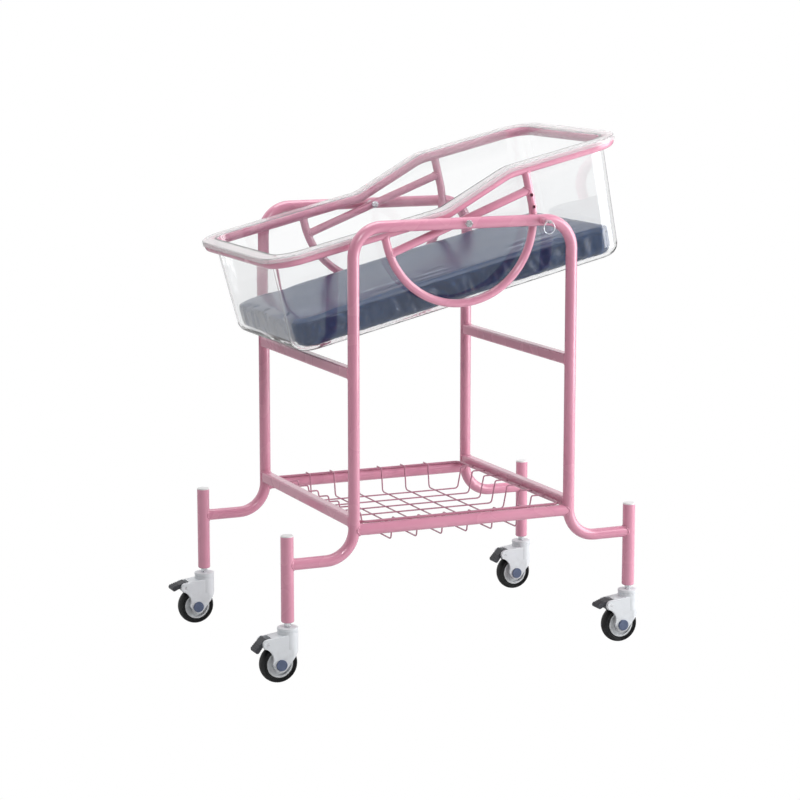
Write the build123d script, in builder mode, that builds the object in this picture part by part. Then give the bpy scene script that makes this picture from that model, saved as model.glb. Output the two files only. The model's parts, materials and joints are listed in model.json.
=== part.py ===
from build123d import *
from math import atan2, cos, degrees, radians, sin, sqrt, tan
import os

# Hospital bassinet: a bent-tube trolley on braked casters, a cradle that tilts between
# its side frames, a clear tub with a mattress, and a wire basket below.
# Millimetres. The origin is on the floor, midway between the four legs.
# +X points to the head end, +Z up. The tilt lock is on the near side, at -Y.

# Running clearances
shaft_gap = 0.1          # radial, round a shaft that turns or slides
press_gap = 0.05         # radial, round a plug or sleeve driven into a tube
body_gap = 0.3           # between pieces that move past each other

# Trolley frame
leg_x = 230              # leg axis from the middle
side_y = 240             # plane of a side frame from the middle
rail_z = 858.5           # axis of the top rails
foot_z = 226             # axis of the feet
tube_d = 22.5
tube_wall = 1.5
top_bend = 58
foot_bend = 58
post_x = 367             # caster post axis from the middle
post_d = 25
post_wall = 1.5
post_top = 281
post_end = 4             # thickness of the drawn-in lower end
post_round = 3
bar_size = 21            # square crossbar tube
bar_corner = 4
bar_wall = 1.5
upper_bar_z = 582
lower_bar_z = 297
basket_rail_z = 281

# Post caps and caster stems
cap_rim = 2.5
cap_depth = 12
cap_taper = 20           # degrees
stem_d = 13
stem_sleeve = 45         # length of the expander sleeve inside the post
stem_depth = 14          # how deep the stem goes into the caster

# Tilting cradle, drawn in its own tilted plane
tilt = 13.47             # degrees, head end up
pivot_x = 3
cradle_inset = 28        # ring, sectors and braces, inside the side frames
cradle_w = side_y - cradle_inset
ring_d = 20
ring_wall = 1.5
ring_foot = -380         # ring axis at the foot end
ring_head = 368          # ring axis at the head end
ring_low = 20.5          # ring axis over the pivot, foot half
ring_high = 63           # ring axis over the pivot, head half
ring_corner = 55
step_start = -28         # where the ring begins to rise
step_end = 122
step_bend = 90
sector_r = 157
sector_d = 16
sector_wall = 1.5
brace_angle = 7.6

# Pivot fasteners
bolt_d = 8
bolt_head = 13           # across flats
bolt_head_h = 5.3
head_chamfer = 0.8
spacer_d = 14
nut_d = 14
nut_h = 4
nut_round = 1.5
bolt_in_nut = 2          # how far the shank enters the nut

# Tilt lock
hole_count = 3
hole_step = 8.66         # degrees between index holes
pin_d = 6.4
hole_gap = 0.3
barrel_d = 13
barrel_out = 17          # barrel beyond the rail
collar_d = 15
collar_h = 5
pin_end = 18             # pin beyond the barrel
pin_chamfer = 1.2
eye_from_end = 5
eye_d = 3.4
ring_wire = 1.8
pull_d = 25              # pull ring, outside
pin_nose_gap = 0.4       # parked nose to the sector

# Clear tub
tub_end_gap = 1          # tub to ring at the ends
tub_side_gap = 5         # tub to ring at the sides
foot_draft = 1.1
head_draft = 1.45
side_draft = 3.3
tub_corner = 46
tub_bottom = -165        # under the pivot
tub_wall = 4
tub_floor = 5
tub_round = 24
tub_spare = 10           # walls drawn past the lip, then trimmed to it
lip_gap = 0.3            # lip to ring tube
lip_t = 3
skirt_t = 2
skirt_drop = 3           # skirt ends this far above the ring axis
lip_round = 1.5          # outer top edge of the lip
facing_up = 0.5          # cosine limit for a face that counts as the lip's top

# Mattress
mattress_t = 56
mattress_gap = 2.5
mattress_round = 6

# Basket
rim_wire = 5
basket_wire = 3
rim_x = 213
rim_y = 235
rim_corner = 14
basket_depth = 45
wire_bend = 8
hook_bend = 4.5
cross_count = 8
cross_step = 54
cross_shift = -4.5       # the wires sit a little towards the foot end
cross_top = 20           # top of the side walls, inside the rim
cross_low = 27           # bottom of the side walls, inside the rim
long_count = 7
long_step = 55
long_top = 27            # top of the end walls, inside the rim
long_low = 36            # bottom of the end walls, inside the rim

# Casters
trail = 20               # axle behind the stem
wheel_d = 75
tyre_h = 11.5            # tyre section, from the rim to the tread
tyre_w = 25
tyre_crown = 4           # rise of the tread over its shoulders
bead_inset = 2           # tyre bead and hub rim, inside the sidewall
bead_h = 3
wall_groove = 1          # groove round each sidewall
rim_d = wheel_d - 2 * tyre_h
rim_flange = 3
disc_t = 9
hub_d = 22
hub_slope = 3            # how far the disc widens towards the hub
bore_d = 8
fork_gap = 27            # between the cheeks
fork_w = 39
fork_round = 1.5
boss_r = 14.5
lobe_r = 9.5
pedal_x = -47            # pedal pin from the stem axis
pedal_rise = 5           # pedal pin above the top of the wheel
pedal_z = wheel_d + pedal_rise
crown_back = 21
crown_rise = 23          # crown above the top of the wheel
crown_top = wheel_d + crown_rise
crown_depth = 32
crown_low = crown_top - crown_depth
crown_slope = 3          # where the sloping crown meets the stem axis, under the top
turret_r = 20
hollow_x = -58
hollow_rise = 12.5       # above the axle
hollow_z = wheel_d / 2 + hollow_rise
hollow_r = 22
well_gap = 3
collar_low = 1.5
caster_collar_d = 40.5
caster_collar_h = 9
post_gap = 8             # collar to post, where the stem shows
post_bottom = crown_top + caster_collar_h + post_gap
collar_step = 1          # upper tier of the collar, beyond the lower one
collar_tier = 3.3        # height of the lower tier
collar_bevel = 5
axle_cap_d = 22
axle_cap_h = 3
cap_round = 1.2
pedal_w = 26
pedal_t = 6
pedal_tip = 9            # plate thickness at its outer end
pedal_slope = 18.4       # degrees, when released
pedal_hub = 7.5
pedal_pin = 6
pedal_travel = 29
pedal_reach = 22
pedal_heel = 7           # plate above the pin
pedal_tail = 4           # plate behind the pin
rib_count = 4
rib_step = 4
rib_d = 2
shoe_d = 4
shoe_gap = 0.6

os.makedirs("parts", exist_ok=True)

cradle = Plane(
    origin=(pivot_x, 0, rail_z),
    x_dir=(cos(radians(tilt)), 0, sin(radians(tilt))),
    z_dir=(-sin(radians(tilt)), 0, cos(radians(tilt))),
)
cradle_side = Plane(origin=cradle.origin, x_dir=cradle.x_dir, z_dir=(0, -1, 0))


def save(piece, label):
    piece.part.label = label
    export_step(piece.part, f"parts/{label}.step")


def sweep_tube(line, outer_d, bore_d=0):
    """A round rod or tube along a line, with its ends square to it."""
    with BuildSketch(Plane(origin=line @ 0, z_dir=line % 0)) as section:
        Circle(outer_d / 2)
        if bore_d:
            Circle(bore_d / 2, mode=Mode.SUBTRACT)
    sweep(sections=section.sketch, path=line)


# Side frames: foot, leg, top rail, leg and foot in one bent tube
def side_frame(y, lock):
    side = Plane.XZ.offset(-y)
    with BuildLine(side) as run:
        FilletPolyline(
            (-post_x, foot_z),
            (-leg_x, foot_z),
            (-leg_x, rail_z),
            (leg_x, rail_z),
            (leg_x, foot_z),
            (post_x, foot_z),
            radius=[foot_bend, top_bend, top_bend, foot_bend],
        )
    with BuildPart() as frame:
        sweep_tube(run.line, tube_d, tube_d - 2 * tube_wall)
        with BuildSketch(Plane.XY.offset(foot_z)):
            with Locations((-post_x, y), (post_x, y)):
                Circle(post_d / 2)
        extrude(amount=tube_d, both=True, mode=Mode.SUBTRACT)
        with BuildSketch(side):
            with Locations((pivot_x, rail_z)):
                Circle(bolt_d / 2 + press_gap)
            if lock:
                with Locations((pivot_x + sector_r, rail_z)):
                    Circle(barrel_d / 2 + press_gap)
        extrude(amount=tube_d, both=True, mode=Mode.SUBTRACT)
    return frame


save(side_frame(-side_y, lock=True), "side_frame_near")
save(side_frame(side_y, lock=False), "side_frame_far")


# Crossbars: square tubes shaped round the legs, and the lower ones round the basket rails
def crossbar(x, z):
    with BuildPart() as bar:
        with BuildSketch(Plane.XZ):
            with Locations((x, z)):
                RectangleRounded(bar_size, bar_size, bar_corner)
                RectangleRounded(
                    bar_size - 2 * bar_wall,
                    bar_size - 2 * bar_wall,
                    bar_corner - bar_wall,
                    mode=Mode.SUBTRACT,
                )
        extrude(amount=side_y, both=True)
        with BuildSketch(Plane.XY.offset(z)):
            with Locations((x, -side_y), (x, side_y)):
                Circle(tube_d / 2)
        extrude(amount=bar_size, both=True, mode=Mode.SUBTRACT)
        with BuildSketch(Plane.YZ.offset(x)):
            with Locations((-side_y, basket_rail_z), (side_y, basket_rail_z)):
                Circle(tube_d / 2)
        extrude(amount=bar_size, both=True, mode=Mode.SUBTRACT)
    return bar


for end, x in (("foot", -leg_x), ("head", leg_x)):
    save(crossbar(x, upper_bar_z), f"upper_crossbar_{end}")
    save(crossbar(x, lower_bar_z), f"lower_crossbar_{end}")


# Basket rails: round tubes along the sides, shaped round the legs
def basket_rail(y):
    with BuildPart() as rail:
        with BuildSketch(Plane.YZ):
            with Locations((y, basket_rail_z)):
                Circle(tube_d / 2)
                Circle(tube_d / 2 - tube_wall, mode=Mode.SUBTRACT)
        extrude(amount=leg_x, both=True)
        with BuildSketch(Plane.XY.offset(basket_rail_z)):
            with Locations((-leg_x, y), (leg_x, y)):
                Circle(tube_d / 2)
        extrude(amount=tube_d, both=True, mode=Mode.SUBTRACT)
    return rail


save(basket_rail(-side_y), "basket_rail_near")
save(basket_rail(side_y), "basket_rail_far")

# Caster posts, their caps, and the steel stems that hold the casters
post_bore = post_d / 2 - post_wall
corners = {
    "near_foot": (-post_x, -side_y),
    "near_head": (post_x, -side_y),
    "far_foot": (-post_x, side_y),
    "far_head": (post_x, side_y),
}
crown_floor = crown_top - stem_depth

for corner, (x, y) in corners.items():
    with BuildPart() as post:
        with BuildSketch(Plane.XY.offset(post_bottom)):
            with Locations((x, y)):
                Circle(post_d / 2)
        extrude(amount=post_top - post_bottom)
        fillet(post.faces().sort_by(Axis.Z)[0].edges(), radius=post_round)
        with BuildSketch(Plane.XY.offset(post_bottom + post_end)):
            with Locations((x, y)):
                Circle(post_bore)
        extrude(amount=post_top, mode=Mode.SUBTRACT)
        with BuildSketch(Plane.XY.offset(post_bottom)):
            with Locations((x, y)):
                Circle(stem_d / 2 + press_gap)
        extrude(amount=post_end, mode=Mode.SUBTRACT)
    save(post, f"caster_post_{corner}")

with BuildPart() as post_caps:
    with BuildSketch(Plane.XY.offset(post_top)):
        with Locations(*corners.values()):
            Circle(post_d / 2)
    extrude(amount=cap_rim, taper=cap_taper)
    with BuildSketch(Plane.XY.offset(post_top)):
        with Locations(*corners.values()):
            Circle(post_bore - press_gap)
    extrude(amount=-cap_depth)
save(post_caps, "post_caps")

with BuildPart() as caster_stems:
    with BuildSketch(Plane.XY.offset(post_bottom + post_end)):
        with Locations(*corners.values()):
            Circle(post_bore - press_gap)
    extrude(amount=stem_sleeve)
    with BuildSketch(Plane.XY.offset(crown_floor + body_gap)):
        with Locations(*corners.values()):
            Circle(stem_d / 2)
    extrude(amount=post_bottom + post_end - crown_floor)
save(caster_stems, "caster_stems")


# The cradle ring: one tube that steps up towards the head end
def ring_solid(outer_d, bore_d=0):
    with BuildLine(cradle) as half:
        FilletPolyline(
            (ring_foot, 0, ring_low),
            (ring_foot, -cradle_w, ring_low),
            (step_start, -cradle_w, ring_low),
            (step_end, -cradle_w, ring_high),
            (ring_head, -cradle_w, ring_high),
            (ring_head, 0, ring_high),
            radius=[ring_corner, step_bend, step_bend, ring_corner],
        )
    with BuildPart() as ring:
        sweep_tube(half.line, outer_d, bore_d)
        mirror(about=Plane.XZ)
    return ring


cradle_ring = ring_solid(ring_d, ring_d - 2 * ring_wall)
ring_envelope = ring_solid(ring_d)
save(cradle_ring, "cradle_ring")


# Sectors: U-shaped tubes under the ring, centred on the pivot
def sector_line(side):
    with BuildLine(side) as bow:
        Line((-sector_r, ring_low), (-sector_r, 0))
        CenterArc((0, 0), sector_r, 180, 180)
        Line((sector_r, 0), (sector_r, ring_high))
    return bow.line


def sector(side, holes):
    with BuildPart() as bow:
        sweep_tube(sector_line(side), sector_d, sector_d - 2 * sector_wall)
        add(ring_envelope.part, mode=Mode.SUBTRACT)
        for index in range(holes):
            angle = radians(-tilt + index * hole_step)
            with BuildSketch(side):
                with Locations((sector_r * cos(angle), sector_r * sin(angle))):
                    Circle(pin_d / 2 + hole_gap)
            extrude(amount=sector_d, mode=Mode.SUBTRACT)
    return bow


near_side = cradle_side.offset(cradle_w)
far_side = cradle_side.offset(-cradle_w)
save(sector(near_side, hole_count), "sector_near")
save(sector(far_side, 0), "sector_far")


# Braces: tubes across the sectors that carry the pivots
def brace(side):
    angle = radians(brace_angle)
    end = (sector_r * cos(angle), sector_r * sin(angle))
    with BuildPart() as envelope:
        sweep_tube(sector_line(side), sector_d)
    with BuildLine(side) as axis:
        Line((-end[0], -end[1]), end)
    with BuildPart() as bar:
        sweep_tube(axis.line, sector_d, sector_d - 2 * sector_wall)
        add(envelope.part, mode=Mode.SUBTRACT)
        with BuildSketch(side):
            Circle(bolt_d / 2 + shaft_gap)
        extrude(amount=sector_d, both=True, mode=Mode.SUBTRACT)
    return bar


save(brace(near_side), "brace_near")
save(brace(far_side), "brace_far")

# Pivot bolts, spacers and nuts, drawn at the near side and mirrored to the far one
pivot_side = Plane(origin=(pivot_x, 0, rail_z), x_dir=(1, 0, 0), z_dir=(0, -1, 0))
rail_face = side_y + tube_d / 2
brace_in = cradle_w - sector_d / 2
brace_out = cradle_w + sector_d / 2
nut_face = brace_in - body_gap

with BuildPart() as pivot_bolts:
    with BuildSketch(pivot_side.offset(nut_face - bolt_in_nut)):
        Circle(bolt_d / 2)
    extrude(amount=rail_face - nut_face + bolt_in_nut)
    with BuildSketch(pivot_side.offset(rail_face)):
        RegularPolygon(bolt_head / 2, 6, major_radius=False)
    extrude(amount=bolt_head_h)
    chamfer(pivot_bolts.faces().sort_by(Axis.Y)[0].edges(), length=head_chamfer)
    mirror(about=Plane.XZ)
save(pivot_bolts, "pivot_bolts")

with BuildPart() as pivot_spacers:
    with BuildSketch(pivot_side.offset(brace_out + body_gap)):
        Circle(spacer_d / 2)
        Circle(bolt_d / 2 + press_gap, mode=Mode.SUBTRACT)
    extrude(amount=side_y - brace_out - body_gap)
    with BuildSketch(Plane.YZ):
        with Locations((-side_y, rail_z)):
            Circle(tube_d / 2)
    extrude(amount=2 * spacer_d, both=True, mode=Mode.SUBTRACT)
    mirror(about=Plane.XZ)
save(pivot_spacers, "pivot_spacers")

with BuildPart() as pivot_nuts:
    with BuildSketch(pivot_side.offset(nut_face)):
        Circle(nut_d / 2)
    extrude(amount=-nut_h)
    fillet(pivot_nuts.faces().sort_by(Axis.Y)[-1].edges(), radius=nut_round)
    with BuildSketch(pivot_side.offset(nut_face)):
        Circle(bolt_d / 2 + press_gap)
    extrude(amount=-bolt_in_nut, mode=Mode.SUBTRACT)
    mirror(about=Plane.XZ)
save(pivot_nuts, "pivot_nuts")

# Tilt lock: a threaded barrel through the near rail, a sliding pin and its pull ring
lock_side = Plane(origin=(pivot_x + sector_r, 0, rail_z), x_dir=(1, 0, 0), z_dir=(0, -1, 0))
barrel_in = side_y - tube_d / 2
barrel_end = rail_face + barrel_out
pin_nose = brace_out + pin_nose_gap
pin_tail = barrel_end + pin_end

with BuildPart() as plunger_body:
    with BuildSketch(lock_side.offset(barrel_in)):
        Circle(barrel_d / 2)
    extrude(amount=barrel_end - barrel_in)
    with BuildSketch(lock_side.offset(rail_face)):
        Circle(collar_d / 2)
    extrude(amount=collar_h)
    chamfer(plunger_body.faces().sort_by(Axis.Y)[0].edges(), length=head_chamfer)
    with BuildSketch(lock_side.offset(barrel_in)):
        Circle(pin_d / 2 + shaft_gap)
    extrude(amount=barrel_end - barrel_in, mode=Mode.SUBTRACT)
save(plunger_body, "plunger_body")

eye_y = pin_tail - eye_from_end
with BuildPart() as index_pin:
    with BuildSketch(lock_side.offset(pin_nose)):
        Circle(pin_d / 2)
    extrude(amount=pin_tail - pin_nose)
    chamfer(index_pin.faces().sort_by(Axis.Y)[-1].edges(), length=pin_chamfer)
    with BuildSketch(Plane.YZ.offset(pivot_x + sector_r)):
        with Locations((-eye_y, rail_z)):
            Circle(eye_d / 2)
    extrude(amount=pin_d, both=True, mode=Mode.SUBTRACT)
save(index_pin, "index_pin")

pull_r = (pull_d - ring_wire) / 2
with BuildPart() as pull_ring:
    with Locations(Plane(origin=(pivot_x + sector_r, -eye_y, rail_z - pull_r), z_dir=(0, -1, 0))):
        Torus(pull_r, ring_wire / 2)
save(pull_ring, "pull_ring")

# The tub: outlines that narrow downwards, worked out from the ring that holds it
lip_under = ring_d / 2 + lip_gap
lip_top = lip_under + lip_t
tub_foot = ring_foot + ring_d / 2 + tub_end_gap
tub_head = ring_head - ring_d / 2 - tub_end_gap
tub_half = cradle_w - ring_d / 2 - tub_side_gap
tub_top = ring_high + lip_top + tub_spare


def tub_outline(height, inset, corner):
    """Plan of the tub at a height over the pivot, inset from its outer face."""
    foot = tub_foot + (ring_low - height) * tan(radians(foot_draft)) + inset
    head = tub_head - (ring_high - height) * tan(radians(head_draft)) - inset
    half = tub_half - (ring_low - height) * tan(radians(side_draft)) - inset
    with BuildSketch(cradle.offset(height)) as plan:
        with Locations(((foot + head) / 2, 0)):
            RectangleRounded(head - foot, 2 * half, corner)
    return plan.sketch


def tub_block(low, high, inset, bottom_round):
    with BuildPart() as block:
        corner = tub_corner - inset
        loft(sections=[tub_outline(low, inset, corner), tub_outline(high, inset, corner)])
        lowest = block.faces().sort_by(Axis(cradle.origin, cradle.z_dir))[0]
        fillet(lowest.edges(), radius=bottom_round)
    return block


step_slope = atan2(ring_high - ring_low, step_end - step_start)


def step_points(offset, start, end):
    """The ring's stepped line, moved up square to itself."""
    shift = offset * tan(step_slope / 2)
    return [
        (start, ring_low + offset),
        (step_start - shift, ring_low + offset),
        (step_end - shift, ring_high + offset),
        (end, ring_high + offset),
    ]


def step_band(low, high):
    """A sheet across the cradle that follows the stepped line between two offsets."""
    start = ring_foot - 2 * ring_d
    end = ring_head + 2 * ring_d
    with BuildPart() as band:
        with BuildSketch(cradle_side):
            with BuildLine():
                under = FilletPolyline(
                    *step_points(low, start, end), radius=[step_bend - low, step_bend + low]
                )
                over = FilletPolyline(
                    *step_points(high, start, end), radius=[step_bend - high, step_bend + high]
                )
                Line(under @ 0, over @ 0)
                Line(under @ 1, over @ 1)
            make_face()
        extrude(amount=cradle_w + 2 * ring_d, both=True)
    return band


def ring_prism(grow):
    """The plan of the ring's axis, grown all round, as an upright block."""
    with BuildPart() as prism:
        with BuildSketch(cradle.offset(-2 * ring_d)):
            with Locations(((ring_foot + ring_head) / 2, 0)):
                RectangleRounded(
                    ring_head - ring_foot + 2 * grow, 2 * (cradle_w + grow), ring_corner + grow
                )
        extrude(amount=ring_high + 6 * ring_d)
    return prism


skirt_in = ring_d / 2 + lip_gap
skirt_out = skirt_in + skirt_t
cavity = tub_block(tub_bottom + tub_floor, tub_top, tub_wall, tub_round - tub_wall)
above_lip = step_band(lip_top, ring_high + lip_top + tub_spare)

with BuildPart() as ring_room:
    add(ring_prism(skirt_in).part)
    add(step_band(-ring_d, lip_under).part, mode=Mode.INTERSECT)

with BuildPart() as lip:
    add(ring_prism(skirt_out).part)
    add(step_band(skirt_drop, lip_top).part, mode=Mode.INTERSECT)
    tops = lip.faces().filter_by(lambda face: face.normal_at().dot(cradle.z_dir) > facing_up)
    rims = [edge for edge in tops.edges() if sum(edge in face.edges() for face in tops) == 1]
    fillet(rims, radius=lip_round)
    add(ring_room.part, mode=Mode.SUBTRACT)

with BuildPart() as tub:
    add(tub_block(tub_bottom, tub_top, 0, tub_round).part)
    add(above_lip.part, mode=Mode.SUBTRACT)
    add(lip.part)
    add(cavity.part, mode=Mode.SUBTRACT)
save(tub, "tub")

# Mattress: a plain block that fills the floor of the tub
mattress_low = tub_bottom + tub_floor + body_gap
mattress = tub_block(
    mattress_low, mattress_low + mattress_t, tub_wall + mattress_gap, tub_round - tub_wall
)
with mattress:
    crest = mattress.faces().sort_by(Axis(cradle.origin, cradle.z_dir))[-1]
    fillet(crest.edges(), radius=mattress_round)
save(mattress, "mattress")

# Basket: a rim that rests on the side rails, with wires hung over it or welded inside it
reach = (tube_d + rim_wire) / 2 + body_gap
rim_z = basket_rail_z + sqrt(reach**2 - (side_y - rim_y) ** 2)
over_z = rim_z + (rim_wire + basket_wire) / 2
floor_z = rim_z - basket_depth

with BuildLine(Plane.XY.offset(rim_z)) as rim_half:
    FilletPolyline((-rim_x, 0), (-rim_x, -rim_y), (rim_x, -rim_y), (rim_x, 0), radius=rim_corner)
with BuildPart() as basket_rim:
    sweep_tube(rim_half.line, rim_wire)
    mirror(about=Plane.XZ)
save(basket_rim, "basket_rim")


def basket_hoop(plane, rim, top, low, bottom, start):
    """One wire: inwards from the rim, down the wall, across the floor and up over the rim."""
    tail = rim + rim_wire / 2
    with BuildLine(plane) as hoop:
        FilletPolyline(
            start,
            (top - rim, start[1]),
            (low - rim, bottom),
            (rim - low, bottom),
            (rim - top, over_z),
            (tail, over_z),
            radius=[hook_bend, wire_bend, wire_bend, hook_bend],
        )
    sweep_tube(hoop.line, basket_wire)


with BuildPart() as basket_cross_wires:
    weld = (rim_wire / 2 - rim_y, rim_z)
    for index in range(cross_count):
        x = (index - (cross_count - 1) / 2) * cross_step + cross_shift
        basket_hoop(Plane.YZ.offset(x), rim_y, cross_top, cross_low, floor_z, weld)
save(basket_cross_wires, "basket_cross_wires")

with BuildPart() as basket_long_wires:
    hook = (-rim_x - rim_wire / 2, over_z)
    for index in range(long_count):
        y = (index - (long_count - 1) / 2) * long_step
        basket_hoop(Plane.XZ.offset(-y), rim_x, long_top, long_low, floor_z + basket_wire, hook)
save(basket_long_wires, "basket_long_wires")

# Casters: all drawn trailing towards the foot end
axle_at = (-trail, wheel_d / 2)
pedal_at = (pedal_x, pedal_z)
well_r = wheel_d / 2 + well_gap
shoe_reach = sqrt((trail + pedal_x) ** 2 + (pedal_z - wheel_d / 2) ** 2) - wheel_d / 2 - shoe_gap
shoe_pressed = degrees(atan2(axle_at[1] - pedal_z, axle_at[0] - pedal_x))


def caster_housing(side, base):
    """Fork with two cheeks, a crown over the wheel and a round seat for the collar."""
    with BuildPart() as housing:
        with BuildSketch(side) as cheek:
            with Locations(axle_at):
                Circle(boss_r)
            with Locations(pedal_at):
                Circle(lobe_r)
            Polygon(
                (crown_back, crown_top - collar_low),
                (crown_back, crown_low),
                (0, crown_top - crown_slope),
                align=None,
            )
            make_hull()
            with Locations((hollow_x, hollow_z)):
                Circle(hollow_r, mode=Mode.SUBTRACT)
        extrude(amount=fork_w / 2, both=True)
        cheeks = housing.faces().filter_by(Axis.Y)
        fillet(cheeks.edges(), radius=fork_round)
        with BuildSketch(base):
            Circle(turret_r)
            Rectangle(4 * turret_r, fork_w, align=(Align.MAX, Align.CENTER))
        extrude(amount=crown_top, mode=Mode.INTERSECT)
        with BuildSketch(base.offset(crown_low)):
            Circle(turret_r)
        extrude(amount=crown_top - crown_low)
        with BuildSketch(side):
            with Locations(axle_at):
                Circle(well_r)
                Rectangle(3 * well_r, 2 * well_r, align=(Align.CENTER, Align.MAX))
            with Locations((pedal_x + lobe_r, pedal_z)):
                Rectangle(4 * lobe_r, 6 * lobe_r, align=(Align.MAX, Align.CENTER))
        extrude(amount=fork_gap / 2, both=True, mode=Mode.SUBTRACT)
        with BuildSketch(side):
            with Locations(axle_at):
                Circle(bore_d / 2 + press_gap)
            with Locations(pedal_at):
                Circle(pedal_pin / 2 + press_gap)
        extrude(amount=fork_w, both=True, mode=Mode.SUBTRACT)
        with BuildSketch(base.offset(crown_floor)):
            Circle(stem_d / 2 + shaft_gap)
        extrude(amount=crown_top, mode=Mode.SUBTRACT)
    return housing


def caster_collar(upright):
    """Two-tier cover ring on top of the housing."""
    bore = stem_d / 2 + shaft_gap
    edge = caster_collar_d / 2
    low = crown_top
    high = crown_top + caster_collar_h
    tier = low + collar_tier
    with BuildPart() as collar:
        with BuildSketch(upright):
            with BuildLine():
                FilletPolyline(
                    (bore, low),
                    (edge - collar_step, low),
                    (edge - collar_step, tier),
                    (edge, tier),
                    (edge, high - collar_step),
                    (edge - collar_bevel, high),
                    (bore, high - collar_step),
                    radius=[collar_step / 2, collar_step / 3, collar_step / 3, collar_step, collar_step],
                )
                Line((bore, high - collar_step), (bore, low))
            make_face()
        revolve(axis=Axis(upright.origin, (0, 0, 1)))
    return collar


def caster_tyre(side):
    """Tyre section with a crowned tread, and a groove and a step on each sidewall."""
    half = tyre_w / 2
    bead = half - bead_inset
    outer = wheel_d / 2
    shoulder = outer - tyre_crown
    inner = rim_d / 2
    step = inner + bead_h
    groove = (step + shoulder) / 2
    across = Plane(origin=side.from_local_coords((*axle_at, 0)), x_dir=(0, 1, 0), z_dir=(1, 0, 0))
    with BuildPart() as tyre:
        with BuildSketch(across):
            with BuildLine():
                Polyline(
                    (-half, shoulder),
                    (-half, step + wall_groove),
                    (-bead, step),
                    (-bead, inner),
                    (bead, inner),
                    (bead, step),
                    (half, step + wall_groove),
                    (half, shoulder),
                )
                ThreePointArc((half, shoulder), (0, outer), (-half, shoulder))
            make_face()
            with Locations((-half, groove), (half, groove)):
                Circle(wall_groove, mode=Mode.SUBTRACT)
        revolve(axis=Axis(across.origin, (0, 1, 0)))
    return tyre


def caster_hub(side):
    """Wheel centre: a bushed hub, a dished disc and a flanged rim."""
    across = Plane(origin=side.from_local_coords((*axle_at, 0)), x_dir=(0, 1, 0), z_dir=(1, 0, 0))
    half = tyre_w / 2 - bead_inset
    bush = fork_gap / 2 - body_gap
    bore = bore_d / 2 + shaft_gap
    rim = rim_d / 2
    with BuildPart() as hub:
        with BuildSketch(across):
            with Locations((0, (bore + hub_d / 2) / 2)):
                Rectangle(2 * bush, hub_d / 2 - bore)
            Polygon(
                (-disc_t / 2 - hub_slope, bore),
                (disc_t / 2 + hub_slope, bore),
                (disc_t / 2, rim),
                (-disc_t / 2, rim),
                align=None,
            )
            with Locations((0, rim - rim_flange / 2)):
                Rectangle(2 * half, rim_flange)
        revolve(axis=Axis(across.origin, (0, 1, 0)))
    return hub


def caster_pins(side):
    """The wheel axle and the pedal pin, both fixed in the cheeks."""
    with BuildPart() as pins:
        with BuildSketch(side):
            with Locations(axle_at):
                Circle(bore_d / 2)
        extrude(amount=fork_w / 2, both=True)
        with BuildSketch(side):
            with Locations(pedal_at):
                Circle(pedal_pin / 2)
        extrude(amount=fork_w / 2, both=True)
    return pins


def axle_caps(side):
    """Push-on covers over both ends of the axle."""
    with BuildPart() as caps:
        for face, turn in ((side.offset(fork_w / 2), 1), (side.offset(-fork_w / 2), -1)):
            with BuildSketch(face):
                with Locations(axle_at):
                    Circle(axle_cap_d / 2)
            extrude(amount=turn * axle_cap_h)
        ends = caps.faces().filter_by(Axis.Y).sort_by(Axis.Y)
        fillet(ends[0].edges() + ends[-1].edges(), radius=cap_round)
    return caps


def caster_pedal(side, turn):
    """Brake pedal: ribbed foot plate, hub round the pin and a shoe that meets the tyre."""
    tilted = Plane(
        origin=side.from_local_coords((*pedal_at, 0)),
        x_dir=(cos(radians(turn)), 0, sin(radians(turn))),
        z_dir=side.z_dir,
    )
    plate = Plane(
        origin=tilted.origin,
        x_dir=-tilted.x_dir.rotate(Axis.Y, -pedal_slope),
        z_dir=-tilted.z_dir,
    )
    tip_drop = (pedal_tip - pedal_t) / 2
    shoe_angle = radians(shoe_pressed - pedal_travel)
    shoe_r = shoe_reach - shoe_d / 2
    with BuildPart() as pedal:
        with BuildSketch(plate):
            with Locations((-pedal_tail, pedal_heel)):
                Circle(pedal_t / 2)
            with Locations((pedal_reach, pedal_heel - tip_drop)):
                Circle(pedal_tip / 2)
            make_hull()
            for index in range(rib_count):
                with Locations((pedal_reach - index * rib_step, pedal_heel + pedal_t / 2)):
                    Circle(rib_d / 2)
        extrude(amount=pedal_w / 2, both=True)
        with BuildSketch(tilted):
            Circle(pedal_hub)
            with Locations((shoe_r * cos(shoe_angle), shoe_r * sin(shoe_angle))):
                Circle(shoe_d / 2)
            make_hull()
        extrude(amount=pedal_w / 2, both=True)
        with BuildSketch(tilted):
            Circle(pedal_pin / 2 + shaft_gap)
        extrude(amount=pedal_w, both=True, mode=Mode.SUBTRACT)
    return pedal


pressed = ("near_foot", "far_head")
for corner, (x, y) in corners.items():
    base = Plane(origin=(x, y, 0))
    side = Plane(origin=(x, y, 0), x_dir=(1, 0, 0), z_dir=(0, -1, 0))
    save(caster_housing(side, base), f"housing_{corner}")
    save(caster_collar(side), f"swivel_collar_{corner}")
    save(caster_tyre(side), f"tyre_{corner}")
    save(caster_hub(side), f"wheel_hub_{corner}")
    save(caster_pins(side), f"caster_pins_{corner}")
    save(axle_caps(side), f"axle_caps_{corner}")
    save(caster_pedal(side, pedal_travel if corner in pressed else 0), f"brake_pedal_{corner}")
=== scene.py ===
import json
from math import cos, pi, radians, sin, sqrt

import bmesh
import bpy
from mathutils import Matrix, Vector, noise
from mathutils.bvhtree import BVHTree


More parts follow.
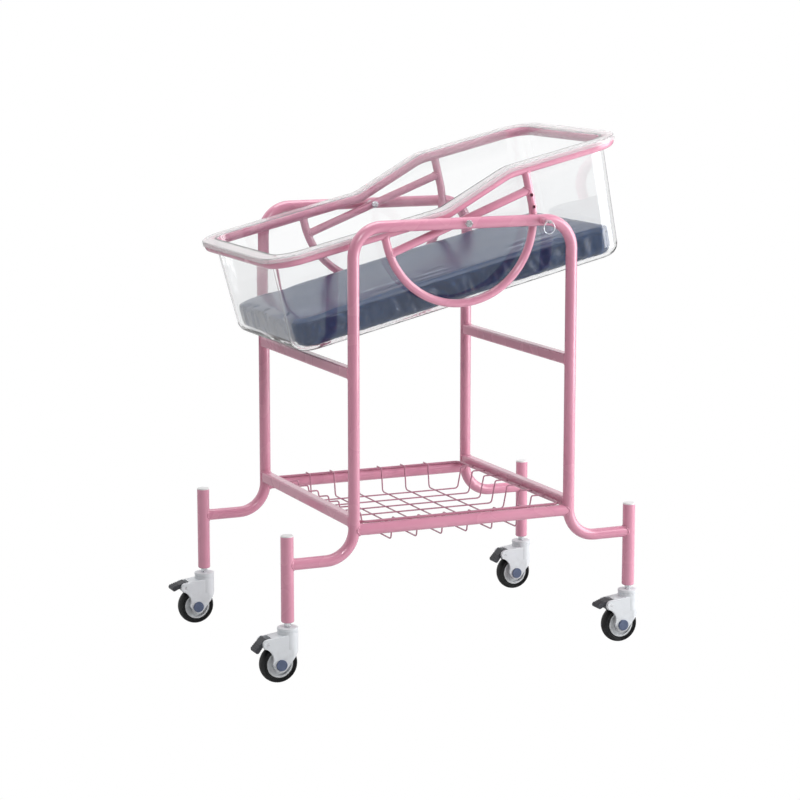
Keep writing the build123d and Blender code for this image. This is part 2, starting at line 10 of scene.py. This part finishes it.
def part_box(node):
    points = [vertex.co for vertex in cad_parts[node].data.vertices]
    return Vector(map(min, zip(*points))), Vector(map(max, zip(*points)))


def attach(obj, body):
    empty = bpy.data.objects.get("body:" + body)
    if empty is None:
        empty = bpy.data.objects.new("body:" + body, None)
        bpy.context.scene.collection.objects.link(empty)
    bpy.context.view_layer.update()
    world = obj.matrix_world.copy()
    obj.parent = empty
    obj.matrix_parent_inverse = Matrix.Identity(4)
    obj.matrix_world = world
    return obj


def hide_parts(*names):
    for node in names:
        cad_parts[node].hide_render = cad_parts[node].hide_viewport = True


# Hospital bassinet in metres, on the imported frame: +X points to the head end, +Z up.
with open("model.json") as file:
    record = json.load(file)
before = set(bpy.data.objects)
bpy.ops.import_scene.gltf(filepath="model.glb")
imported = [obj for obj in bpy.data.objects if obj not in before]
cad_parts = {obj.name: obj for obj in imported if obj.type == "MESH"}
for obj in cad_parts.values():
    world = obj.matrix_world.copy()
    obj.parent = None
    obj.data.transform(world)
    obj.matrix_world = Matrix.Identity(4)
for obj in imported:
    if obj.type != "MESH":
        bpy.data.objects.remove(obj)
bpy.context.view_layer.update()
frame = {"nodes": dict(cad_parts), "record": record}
nodes = frame["nodes"]

# Sizes repeated from the construction source
leg_x = 0.230
side_y = 0.240
rail_z = 0.8585
foot_z = 0.226
tube_r = 0.01125
post_x = 0.367
post_r = 0.0125
bar_half = 0.0105
upper_bar_z = 0.582
lower_bar_z = 0.297
basket_rail_z = 0.281
pivot_x = 0.003
cradle_tilt = radians(13.47)
cradle_y = 0.212
ring_r = 0.010
ring_low = 0.0205
ring_high = 0.063
sector_radius = 0.157
sector_r = 0.008
brace_angle = radians(7.6)
tub_half = 0.197
tub_foot = -0.369
tub_head = 0.357

# Camera at the photograph's viewpoint
camera_place = (-1.9631, -4.4000, 1.2988)
camera_yaw = radians(-23.73)
camera_pitch = radians(-9.65)
camera_lens = 108.9
camera_sensor = 36
camera_reach = 200

# Axes of the tilted cradle: along it, across it, and square to it
cradle = Matrix.Translation((pivot_x, 0, rail_z)) @ Matrix.Rotation(-cradle_tilt, 4, "Y")


# Shader helpers
def new_material(name, **constants):
    made = bpy.data.materials.new(name)
    made.use_nodes = True
    shader = made.node_tree.nodes["Principled BSDF"]
    for socket, value in constants.items():
        shader.inputs[socket.replace("_", " ")].default_value = value
    return made, made.node_tree, shader


def coordinates(tree, stretch=(1, 1, 1)):
    """Object coordinates, in metres, stretched along an axis where the value is below 1."""
    source = tree.nodes.new("ShaderNodeTexCoord")
    mapping = tree.nodes.new("ShaderNodeMapping")
    mapping.inputs["Scale"].default_value = stretch
    tree.links.new(source.outputs["Object"], mapping.inputs["Vector"])
    return mapping.outputs["Vector"]


def noise_of(tree, size, detail=3, rough=0.5, stretch=(1, 1, 1)):
    """Noise with features of about this size, in metres."""
    node = tree.nodes.new("ShaderNodeTexNoise")
    node.inputs["Scale"].default_value = 1 / size
    node.inputs["Detail"].default_value = detail
    node.inputs["Roughness"].default_value = rough
    tree.links.new(coordinates(tree, stretch), node.inputs["Vector"])
    return node.outputs["Fac"]


def spread(tree, value, low, high, start=0.3, end=0.7):
    """Maps a value from start..end to low..high."""
    node = tree.nodes.new("ShaderNodeMapRange")
    node.inputs["From Min"].default_value = start
    node.inputs["From Max"].default_value = end
    node.inputs["To Min"].default_value = low
    node.inputs["To Max"].default_value = high
    tree.links.new(value, node.inputs["Value"])
    return node.outputs["Result"]


def blend_colour(tree, share, first, second):
    """Mixes two colours, each a tuple or a socket."""
    node = tree.nodes.new("ShaderNodeMix")
    node.data_type = "RGBA"
    tree.links.new(share, node.inputs["Factor"])
    for socket, colour in ((node.inputs["A"], first), (node.inputs["B"], second)):
        if isinstance(colour, tuple):
            socket.default_value = (*colour, 1)
        else:
            tree.links.new(colour, socket)
    return node.outputs["Result"]


def combine(tree, operation, first, second):
    node = tree.nodes.new("ShaderNodeMath")
    node.operation = operation
    for socket, value in zip(node.inputs, (first, second)):
        if isinstance(value, (int, float)):
            socket.default_value = value
        else:
            tree.links.new(value, socket)
    return node.outputs["Value"]


def bumps(tree, shader, *layers):
    """Layers of (height, depth in metres, strength), one over the other."""
    normal = None
    for height, depth, strength in layers:
        node = tree.nodes.new("ShaderNodeBump")
        node.inputs["Distance"].default_value = depth
        node.inputs["Strength"].default_value = strength
        tree.links.new(height, node.inputs["Height"])
        if normal:
            tree.links.new(normal, node.inputs["Normal"])
        normal = node.outputs["Normal"]
    tree.links.new(normal, shader.inputs["Normal"])


def scratches(tree, size, stretch, amount):
    """Sparse thin marks: 1 on a mark, 0 off it."""
    line = spread(tree, noise_of(tree, size, 4, 0.6, stretch), 0, 1, 0.62, 0.66)
    patch = spread(tree, noise_of(tree, 0.09, 2), 0, amount, 0.5, 0.65)
    return combine(tree, "MULTIPLY", line, patch)


# Materials
def enamel_material(name, shade=1.0):
    """Gloss powder coat: orange peel, and a slow change of shade and gloss."""
    made, tree, shader = new_material(
        name, Specular_IOR_Level=0.5, Coat_Weight=0.6, Coat_Roughness=0.07
    )
    # A shade below 1 darkens the whole coat: painted shade, used for the basket wires.
    pink = (0.70 * shade, 0.298 * shade, 0.412 * shade)
    rose = (0.66 * shade, 0.272 * shade, 0.382 * shade)
    mottle = spread(tree, noise_of(tree, 0.09, 1, 0.5), 0, 1)
    tree.links.new(blend_colour(tree, mottle, pink, rose), shader.inputs["Base Color"])
    tree.links.new(spread(tree, noise_of(tree, 0.06, 1), 0.24, 0.29), shader.inputs["Roughness"])
    bumps(tree, shader, (noise_of(tree, 0.005, 0), 0.0001, 0.015))
    return made


def steel_material():
    """Zinc plated steel: fine turning marks and a patchy dull bloom."""
    made, tree, shader = new_material("zinc_steel", Metallic=1.0)
    bright, dull = (0.80, 0.81, 0.83), (0.60, 0.62, 0.65)
    bloom = spread(tree, noise_of(tree, 0.004, 4, 0.6), 0, 1)
    tree.links.new(blend_colour(tree, bloom, bright, dull), shader.inputs["Base Color"])
    tree.links.new(spread(tree, bloom, 0.18, 0.36, 0, 1), shader.inputs["Roughness"])
    bumps(tree, shader, (noise_of(tree, 0.0006, 2, 0.5, (1, 0.1, 1)), 0.0001, 0.2))
    return made


def white_plastic(name, colour, grime_top):
    """Moulded white plastic, with a fine spark texture and grime that fades out at a height."""
    grime_low, grime_most, grime_rough = 0.01, 0.55, 0.3
    made, tree, shader = new_material(name, Specular_IOR_Level=0.45)
    split = tree.nodes.new("ShaderNodeSeparateXYZ")
    tree.links.new(coordinates(tree), split.inputs["Vector"])
    low = spread(tree, split.outputs["Z"], grime_most, 0, grime_low, grime_top)
    patches = spread(tree, noise_of(tree, 0.012, 4, 0.65), 0, 1, 0.42, 0.7)
    grime = combine(tree, "MULTIPLY", low, patches)
    dirty = tuple(clean * share for clean, share in zip(colour, (0.62, 0.60, 0.58)))
    tree.links.new(blend_colour(tree, grime, colour, dirty), shader.inputs["Base Color"])
    rough = spread(tree, noise_of(tree, 0.01, 3), 0.30, 0.44)
    rough = combine(tree, "ADD", rough, combine(tree, "MULTIPLY", grime, grime_rough))
    tree.links.new(rough, shader.inputs["Roughness"])
    bumps(
        tree,
        shader,
        (noise_of(tree, 0.0009, 2), 0.0001, 0.2),
        (noise_of(tree, 0.014, 2), 0.0003, 0.12),
    )
    return made


def tyre_material(name, axle):
    """Black rubber, with floor dust on the tread and a fine moulded grain."""
    rubber, dusty = (0.004, 0.005, 0.006), (0.016, 0.016, 0.016)
    tread_from, tread_to = 0.0340, 0.0372
    made, tree, shader = new_material(name, Specular_IOR_Level=0.4)
    reach = tree.nodes.new("ShaderNodeVectorMath")
    reach.operation = "DISTANCE"
    flat = tree.nodes.new("ShaderNodeVectorMath")
    flat.operation = "MULTIPLY"
    flat.inputs[1].default_value = (1, 0, 1)
    tree.links.new(coordinates(tree), flat.inputs[0])
    tree.links.new(flat.outputs["Vector"], reach.inputs[0])
    reach.inputs[1].default_value = (axle.x, 0, axle.z)
    tread = spread(tree, reach.outputs["Value"], 0, 1, tread_from, tread_to)
    patches = spread(tree, noise_of(tree, 0.006, 4, 0.7), 0.1, 0.8, 0.35, 0.7)
    dust = combine(tree, "MULTIPLY", tread, patches)
    tree.links.new(blend_colour(tree, dust, rubber, dusty), shader.inputs["Base Color"])
    tree.links.new(spread(tree, dust, 0.42, 0.85, 0, 1), shader.inputs["Roughness"])
    bumps(tree, shader, (noise_of(tree, 0.0011, 3), 0.0002, 0.3))
    return made


def dull_plastic(name, dark, light, size, rough_low, rough_high):
    """Mottled plastic with a leathery mould grain."""
    made, tree, shader = new_material(name, Specular_IOR_Level=0.4)
    mottle = spread(tree, noise_of(tree, size, 4, 0.6), 0, 1)
    marks = scratches(tree, 0.002, (1, 0.2, 1), 0.7)
    scratched = tuple(2 * channel for channel in light)
    colour = blend_colour(tree, mottle, dark, light)
    tree.links.new(blend_colour(tree, marks, colour, scratched), shader.inputs["Base Color"])
    tree.links.new(spread(tree, mottle, rough_low, rough_high, 0, 1), shader.inputs["Roughness"])
    bumps(tree, shader, (noise_of(tree, 0.0008, 3), 0.00015, 0.35))
    return made


def clear_material():
    """Clear moulded plastic, with a painted reflection at the lip where less light passes through,
    and light handling marks.
    """
    made, tree, shader = new_material("clear_plastic", IOR=1.46, Specular_IOR_Level=0.5)
    wall_colour, lip_painted_reflection_colour = (0.965, 0.970, 0.975), (0.97, 0.972, 0.975)
    lip_edge = 0.003         # over which the lip's painted reflection starts
    lip_painted_reflection = 0.26
    lip_rough, mark_rough, clean_rough = 0.14, 0.12, 0.02
    place = tree.nodes.new("ShaderNodeMapping")
    place.vector_type = "TEXTURE"
    place.inputs["Location"].default_value = (pivot_x, 0, rail_z)
    place.inputs["Rotation"].default_value = (0, -cradle_tilt, 0)
    tree.links.new(coordinates(tree), place.inputs["Vector"])
    split = tree.nodes.new("ShaderNodeSeparateXYZ")
    tree.links.new(place.outputs["Vector"], split.inputs["Vector"])
    across = combine(tree, "ABSOLUTE", split.outputs["Y"], 0)
    lip = spread(tree, across, 0, 1, tub_half, tub_half + lip_edge)
    for end, sign in ((tub_head, 1), (tub_foot, -1)):
        beyond = combine(tree, "MULTIPLY", split.outputs["X"], sign)
        beyond = spread(tree, beyond, 0, 1, sign * end, sign * end + lip_edge)
        lip = combine(tree, "MAXIMUM", lip, beyond)
    marks = scratches(tree, 0.003, (0.1, 1, 0.6), 0.8)
    tree.links.new(blend_colour(tree, lip, wall_colour, lip_painted_reflection_colour), shader.inputs["Base Color"])
    # Painted reflection: at the lip a share of the light stops passing through and shows the
    # diffuse white lip colour, standing for the studio's reflections there.
    painted_reflection = combine(tree, "MULTIPLY", lip, lip_painted_reflection)
    tree.links.new(combine(tree, "SUBTRACT", 1, painted_reflection), shader.inputs["Transmission Weight"])
    marked = combine(tree, "MULTIPLY", marks, mark_rough)
    rough = combine(tree, "ADD", marked, combine(tree, "MULTIPLY", lip, lip_rough))
    tree.links.new(combine(tree, "ADD", rough, clean_rough), shader.inputs["Roughness"])
    bumps(
        tree,
        shader,
        (noise_of(tree, 0.06, 2), 0.0006, 0.06),
        (noise_of(tree, 0.008, 2), 0.0002, 0.03),
    )
    return made


def vinyl_material(name, dark, light):
    """Wipe-clean vinyl: fine leather grain, soft creases and faint shade changes."""
    grain_size = 0.0012
    made, tree, shader = new_material(name, Specular_IOR_Level=0.18)
    mottle = spread(tree, noise_of(tree, 0.09, 2, 0.5), 0, 1)
    tree.links.new(blend_colour(tree, mottle, dark, light), shader.inputs["Base Color"])
    tree.links.new(spread(tree, noise_of(tree, 0.05, 1), 0.18, 0.24), shader.inputs["Roughness"])
    grain = tree.nodes.new("ShaderNodeTexVoronoi")
    grain.feature = "DISTANCE_TO_EDGE"
    grain.inputs["Scale"].default_value = 1 / grain_size
    tree.links.new(coordinates(tree), grain.inputs["Vector"])
    crease = noise_of(tree, 0.030, 2, 0.5, (0.25, 1, 1))
    bumps(
        tree,
        shader,
        (crease, 0.0010, 0.08),
        (grain.outputs["Distance"], 0.0001, 0.12),
    )
    return made


enamel = enamel_material("pink_enamel")
# Basket wires: the enamel darkened to 0.74 of its colour, painted shade standing for the shade the
# wires sit in under the tub.
painted_shade_wire_coat = enamel_material("pink_wire_coating", 0.74)
steel = steel_material()
clear = clear_material()
cap_plastic = white_plastic("white_cap_plastic", (0.74, 0.74, 0.74), 0.02)
caster_plastic = white_plastic("caster_plastic", (0.71, 0.735, 0.765), 0.085)
hub_plastic = white_plastic("wheel_plastic", (0.62, 0.64, 0.66), 0.07)
cap_blue = dull_plastic(
    "axle_cap_plastic", (0.085, 0.11, 0.185), (0.105, 0.135, 0.22), 0.01, 0.40, 0.5
)
pedal_grey = dull_plastic(
    "pedal_plastic", (0.035, 0.037, 0.045), (0.052, 0.055, 0.065), 0.012, 0.45, 0.6
)
vinyl = vinyl_material("navy_vinyl", (0.006, 0.027, 0.084), (0.009, 0.034, 0.100))

slot_material = {
    "enamel": enamel,
    "wire": painted_shade_wire_coat,
    "steel": steel,
    "clear_tub": clear,
    "cap": cap_plastic,
    "caster_white": caster_plastic,
    "hub": hub_plastic,
    "axle_cap": cap_blue,
    "pedal": pedal_grey,
    "vinyl": vinyl,
}


def middle(node):
    low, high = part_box(node)
    return (low + high) / 2


for part in frame["record"]["subparts"]:
    name = part["node"]
    if part["material_slot"] == "tyre":
        used = tyre_material(f"rubber_{name}", middle(name))
    else:
        used = slot_material[part["material_slot"]]
    nodes[name].data.materials.clear()
    nodes[name].data.materials.append(used)


# Mesh helpers
def mesh_from(bm, name):
    made = bpy.data.meshes.new(name)
    bm.to_mesh(made)
    bm.free()
    return made


def mesh_object(name, mesh, material, body, matrix=None):
    made = bpy.data.objects.new(name, mesh)
    bpy.context.scene.collection.objects.link(made)
    if matrix:
        made.matrix_world = matrix
    mesh.materials.clear()
    mesh.materials.append(material)
    for face in mesh.polygons:
        face.use_smooth = True
    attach(made, body)
    return made


def closed_bead(points, radius, ripple=0.0, waves=0, sides=8):
    """Mesh of a round bead along a closed loop, with an even ripple in its thickness."""
    count = len(points)
    bm = bmesh.new()
    rings = []
    centre = sum(points, Vector()) / count
    for index, point in enumerate(points):
        ahead = (points[(index + 1) % count] - points[index - 1]).normalized()
        out = (point - centre).cross(ahead).normalized()
        across = ahead.cross(out)
        thick = radius * (1 + ripple * sin(2 * pi * waves * index / count))
        ring = []
        for step in range(sides):
            turn = 2 * pi * step / sides
            ring.append(bm.verts.new(point + thick * (cos(turn) * out + sin(turn) * across)))
        rings.append(ring)
    for index in range(count):
        ring, following = rings[index], rings[(index + 1) % count]
        for step in range(sides):
            after = (step + 1) % sides
            bm.faces.new((ring[step], ring[after], following[after], following[step]))
    bmesh.ops.recalc_face_normals(bm, faces=bm.faces)
    return mesh_from(bm, "bead")


def round_joint(joint, along, main, branch_r, main_r, count=48):
    """Loop where a round branch that runs along one direction meets a main tube."""
    across = along.cross(main).normalized()
    points = []
    for step in range(count):
        turn = 2 * pi * step / count
        side = branch_r * sin(turn)
        depth = sqrt(max(main_r**2 - side**2, 0))
        points.append(joint + along * depth + across * side + main * branch_r * cos(turn))
    return points


def square_joint(joint, along, main, half, main_r, count=64):
    """Loop where a rounded square branch meets a main tube."""
    across = along.cross(main).normalized()
    reach = half * square_reach
    points = []
    for step in range(count):
        turn = 2 * pi * step / count
        side = max(-reach, min(reach, square_bulge * half * cos(turn)))
        up = max(-reach, min(reach, square_bulge * half * sin(turn)))
        depth = sqrt(max(main_r**2 - side**2, 0))
        points.append(joint + along * depth + across * side + main * up)
    return points


# Weld beads under the paint
bead_r = 0.0016
bead_ripple = 0.12
bead_waves = 11
branch_share = 0.985     # a bead round a branch as thick as the main tube
square_reach = 1.02      # flats of the bead round a square bar
square_bulge = 1.25      # its corners, before they are cut to the flats
x_axis, y_axis, z_axis = Vector((1, 0, 0)), Vector((0, 1, 0)), Vector((0, 0, 1))
frame_loops = []
cradle_loops = []
for end in (-1, 1):
    for side in (-1, 1):
        leg = Vector((end * leg_x, side * side_y, 0))
        post = Vector((end * post_x, side * side_y, 0))
        for height in (upper_bar_z, lower_bar_z):
            joint = leg + height * z_axis
            frame_loops.append(square_joint(joint, -side * y_axis, z_axis, bar_half, tube_r))
        joint = leg + basket_rail_z * z_axis
        frame_loops.append(round_joint(joint, -end * x_axis, z_axis, tube_r * branch_share, tube_r))
        joint = post + foot_z * z_axis
        frame_loops.append(round_joint(joint, -end * x_axis, z_axis, tube_r, post_r))
        arm = Vector((end * cos(brace_angle), 0, end * sin(brace_angle)))
        tangent = Vector((-arm.z, 0, arm.x))
        hoop = Vector((0, side * cradle_y, 0))
        joint = hoop + sector_radius * arm
        cradle_loops.append(round_joint(joint, -arm, tangent, sector_r * branch_share, sector_r))
        joint = hoop + Vector((end * sector_radius, 0, ring_high if end > 0 else ring_low))
        cradle_loops.append(round_joint(joint, -z_axis, x_axis, sector_r, ring_r))


def bead_piece(name, loops, body, matrix=None):
    bm = bmesh.new()
    for loop in loops:
        mesh = closed_bead(loop, bead_r, bead_ripple, bead_waves)
        bm.from_mesh(mesh)
        bpy.data.meshes.remove(mesh)
    mesh_object(name, mesh_from(bm, name), enamel, body, matrix)


bead_piece("frame_weld_beads", frame_loops, "frame")
bead_piece("cradle_weld_beads", cradle_loops, "cradle", cradle)


# Basket: the photo shows six cross wires, so the CAD's two outermost are left out of what is seen
cross_middle = -0.0045
cross_reach = 0.160
bm = bmesh.new()
bm.from_mesh(nodes["basket_cross_wires"].data)
outer = [v for v in bm.verts if abs(v.co.x - cross_middle) > cross_reach]
bmesh.ops.delete(bm, geom=outer, context="VERTS")
wires = mesh_from(bm, "basket_wires_across")
wires = mesh_object("basket_wires_across", wires, painted_shade_wire_coat, "basket")
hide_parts("basket_cross_wires")


# Mattress: the CAD block shrunk a little, blown up as cloth, then creased like a vinyl cover
pad_voxel = 0.006
pad_shrink = 0.002
pad_pressure = 2.5
pad_frames = 20
pad_swell = 0.004        # how far a point may move in the simulation
pad_spare = 0.0016       # how far the cover may stand proud of the solid
side_fold = 0.0120       # depth of the gathers in the side panels
fold_width = 0.030
fold_main, fold_fine = 0.65, 0.35    # shares of the wide gathers and of those half as wide
fold_shear = 0.9
end_fold = 0.3           # the same folds on the end panels, as a share
seam_drop = 0.005        # seam under the crest
seam_half = 0.003
seam_pull = 0.0012       # how far the sewn edge draws in
top_crease = 0.0024
crease_length, crease_width = 0.34, 0.022
crease_skew = 0.05

bm = bmesh.new()
bm.from_mesh(nodes["mattress"].data)
bmesh.ops.transform(bm, matrix=cradle.inverted(), verts=bm.verts)
pad_low = min(v.co.z for v in bm.verts)
pad_high = max(v.co.z for v in bm.verts)
pad_foot = min(v.co.x for v in bm.verts)
pad_head = max(v.co.x for v in bm.verts)
pad_half = max(v.co.y for v in bm.verts)
pad_tree = BVHTree.FromBMesh(bm)
centre = Vector(((pad_foot + pad_head) / 2, 0, pad_low))
for v in bm.verts:
    offset = v.co - centre
    v.co = centre + Vector(
        (
            offset.x * (1 - pad_shrink / (pad_head - centre.x)),
            offset.y * (1 - pad_shrink / pad_half),
            offset.z * (1 - pad_shrink / (pad_high - pad_low)),
        )
    )
pad = bpy.data.objects.new("mattress_cover", mesh_from(bm, "mattress_cover"))
bpy.context.scene.collection.objects.link(pad)
bpy.context.view_layer.objects.active = pad
pad.select_set(True)
remesh = pad.modifiers.new("remesh", "REMESH")
remesh.mode = "VOXEL"
remesh.voxel_size = pad_voxel
bpy.ops.object.modifier_apply(modifier="remesh")
start = [v.co.copy() for v in pad.data.vertices]

cloth = pad.modifiers.new("cloth", "CLOTH")
cloth.settings.use_pressure = True
cloth.settings.uniform_pressure_force = pad_pressure
cloth.settings.effector_weights.gravity = 0
cloth.point_cache.frame_end = pad_frames
for step in range(1, pad_frames + 1):
    bpy.context.scene.frame_set(step)
bpy.ops.object.modifier_apply(modifier="cloth")
bpy.context.scene.frame_set(1)


def ease(value, low, high):
    share = min(max((value - low) / (high - low), 0), 1)
    return share * share * (3 - 2 * share)


def ridge(place):
    """Rounded folds with narrow valleys, from 0 in a valley to 1 on a fold."""
    return min(1, 2.6 * abs(noise.noise(place)))


def side_folds(point, normal):
    """How far a point of a side panel sinks between the gathers, from 0 down to -1."""
    along_side = abs(normal.y) > abs(normal.x)
    if along_side:
        run, lean_seed, face_seed = point.x, 7.7, 11.0 if normal.y < 0 else 22.0
    else:
        run, lean_seed, face_seed = point.y, 2.2, 5.0 if normal.x < 0 else 10.0
    lean = noise.noise(Vector((run / 0.16, lean_seed, 0)))
    sheared = run + lean * fold_shear * (point.z - pad_low)
    fine_width = 0.5 * fold_width
    folds = fold_main * ridge(Vector((sheared / fold_width, face_seed, point.z / 0.09)))
    folds += fold_fine * ridge(Vector((sheared / fine_width, face_seed + 3, point.z / 0.05)))
    strength = 0.7 + 0.3 * ease(noise.noise(Vector((run / 0.11, face_seed, 4.0))), -0.2, 0.2)
    if not along_side:
        strength *= end_fold
    height = (point.z - pad_low) / (pad_high - pad_low)
    loose = ease(height, 0.0, 0.2) * (1 - ease(height, 0.78, 1.0))
    return (folds - 1) * strength * (0.3 + 0.7 * loose)


def top_wrinkles(point):
    """Height of the top: long wrinkles near the near edge, and soft swells all over."""
    near = ease(-point.y, 0.20 * pad_half, 0.60 * pad_half)
    patch = ease(noise.noise(Vector((point.x / 0.16, point.y / 0.25, 9.0))), -0.30, 0.15)
    skewed = point.y - crease_skew * point.x
    waves = ridge(Vector((point.x / crease_length, skewed / crease_width, 3.1))) - 0.4
    soft = noise.noise(Vector((point.x / 0.22, point.y / 0.14, 6.3)))
    return waves * patch * near + 0.5 * soft


pad_mesh = pad.data
normals = [v.normal.copy() for v in pad_mesh.vertices]
for v, place, normal in zip(pad_mesh.vertices, start, normals):
    move = v.co - place
    if move.length > pad_swell:
        move *= pad_swell / move.length
    point = place + move
    wall = 1 - ease(abs(normal.z), 0.25, 0.8)
    point += normal * wall * side_fold * side_folds(point, normal)
    if normal.z > 0:
        point += normal * (1 - wall) * top_crease * top_wrinkles(point)
    seam = abs(point.z - (pad_high - seam_drop))
    point -= normal * wall * seam_pull * (1 - ease(seam, 0, seam_half))
    point.z = max(point.z, pad_low)
    v.co = point

top_facing = 0.7         # cosine above which a face is the top, left free to swell
for v in pad_mesh.vertices:
    near_cad, facing, _, _ = pad_tree.find_nearest(v.co)
    outside = (v.co - near_cad).dot(facing)
    if outside > pad_spare and facing.z < top_facing:
        v.co = near_cad + facing * pad_spare

smooth = pad.modifiers.new("smooth", "SUBSURF")
smooth.levels = 1
smooth.render_levels = 1
bpy.ops.object.modifier_apply(modifier="smooth")
pad.select_set(False)
pad.data.materials.clear()
pad.data.materials.append(vinyl)
for face in pad.data.polygons:
    face.use_smooth = True
cover_tree = BVHTree.FromObject(pad, bpy.context.evaluated_depsgraph_get())
pad.matrix_world = cradle
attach(pad, "mattress")
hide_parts("mattress")


# Piping: a thin sewn welt round the top edge, laid on the finished cover
welt_r = 0.0009
welt_ripple = 0.10
welt_stitches = 150
cast_from = 0.6
cast_squash = 0.62       # turns more of the rays to the two ends


def edge_path(height, count=420):
    """Points on the cover all round, at one height."""
    points = []
    for step in range(count):
        turn = 2 * pi * step / count
        heading = Vector((cos(turn), sin(turn) * cast_squash, 0)).normalized()
        origin = Vector((centre.x, 0, height)) + heading * cast_from
        hit, _, _, _ = cover_tree.ray_cast(origin, -heading)
        if hit:
            points.append(hit)
    return points


welt = closed_bead(edge_path(pad_high - seam_drop), welt_r, welt_ripple, welt_stitches, 6)
mesh_object("mattress_piping", welt, vinyl, "mattress", cradle)

# Camera
camera_data = bpy.data.cameras.new("camera")
camera_data.lens = camera_lens
camera_data.sensor_width = camera_sensor
camera_data.clip_end = camera_reach
camera = bpy.data.objects.new("camera", camera_data)
camera.location = camera_place
camera.rotation_euler = (pi / 2 + camera_pitch, 0, camera_yaw)
bpy.context.scene.collection.objects.link(camera)
bpy.context.scene.camera = camera


# Floor, lamps and world
def white_share(tree):
    """1 for rays that see the plain white background, straight or through the tub."""
    path = tree.nodes.new("ShaderNodeLightPath")
    through = path.outputs["Is Transmission Ray"]
    return combine(tree, "MAXIMUM", path.outputs["Is Camera Ray"], through)


floor_half = 60
bm = bmesh.new()
bmesh.ops.create_grid(bm, x_segments=2, y_segments=2, size=floor_half)
floor_mesh = mesh_from(bm, "floor")
floor = bpy.data.objects.new("floor", floor_mesh)
bpy.context.scene.collection.objects.link(floor)
floor_material, tree, shader = new_material("pale_floor", Roughness=0.9, Specular_IOR_Level=0.1)
tint = blend_colour(tree, noise_of(tree, 0.8, 3), (0.62, 0.62, 0.62), (0.64, 0.64, 0.64))
tree.links.new(tint, shader.inputs["Base Color"])
glow = tree.nodes.new("ShaderNodeEmission")
mixed = tree.nodes.new("ShaderNodeMixShader")
tree.links.new(white_share(tree), mixed.inputs["Fac"])
tree.links.new(shader.outputs["BSDF"], mixed.inputs[1])
tree.links.new(glow.outputs["Emission"], mixed.inputs[2])
tree.links.new(mixed.outputs["Shader"], tree.nodes["Material Output"].inputs["Surface"])
floor_mesh.materials.append(floor_material)

# The room: a bright sweep behind, dim in front
room_dim, room_bright = 0.05, 0.95
bright_way = Vector((-0.05, 0.95, 0.30)).normalized()
world = bpy.data.worlds.new("studio")
world.use_nodes = True
bpy.context.scene.world = world
tree = world.node_tree
sky = tree.nodes["Background"]
sky.inputs["Color"].default_value = (1, 1, 1, 1)
heading = tree.nodes.new("ShaderNodeTexCoord")
toward = tree.nodes.new("ShaderNodeVectorMath")
toward.operation = "DOT_PRODUCT"
tree.links.new(heading.outputs["Generated"], toward.inputs[0])
toward.inputs[1].default_value = bright_way
room = spread(tree, toward.outputs["Value"], room_dim, room_bright, -0.25, 0.75)
white = white_share(tree)
kept = combine(tree, "MULTIPLY", room, combine(tree, "SUBTRACT", 1, white))
tree.links.new(combine(tree, "ADD", kept, white), sky.inputs["Strength"])

lamp_target = Vector((0, 0, 0.55))


def softbox(name, place, width, height, power):
    lamp = bpy.data.lights.new(name, "AREA")
    lamp.shape = "RECTANGLE"
    lamp.size = width
    lamp.size_y = height
    lamp.energy = power
    made = bpy.data.objects.new(name, lamp)
    made.location = place
    made.rotation_mode = "QUATERNION"
    made.rotation_quaternion = (lamp_target - Vector(place)).to_track_quat("-Z", "Y")
    bpy.context.scene.collection.objects.link(made)


softbox("side", (2.45, -1.35, 1.2), 2.4, 2.4, 96)
softbox("front", (-1.2, -3.6, 2.6), 0.8, 0.8, 38)
softbox("top", (0.0, 0.1, 3.2), 1.8, 1.8, 44)

bpy.context.scene.view_settings.view_transform = "Standard"
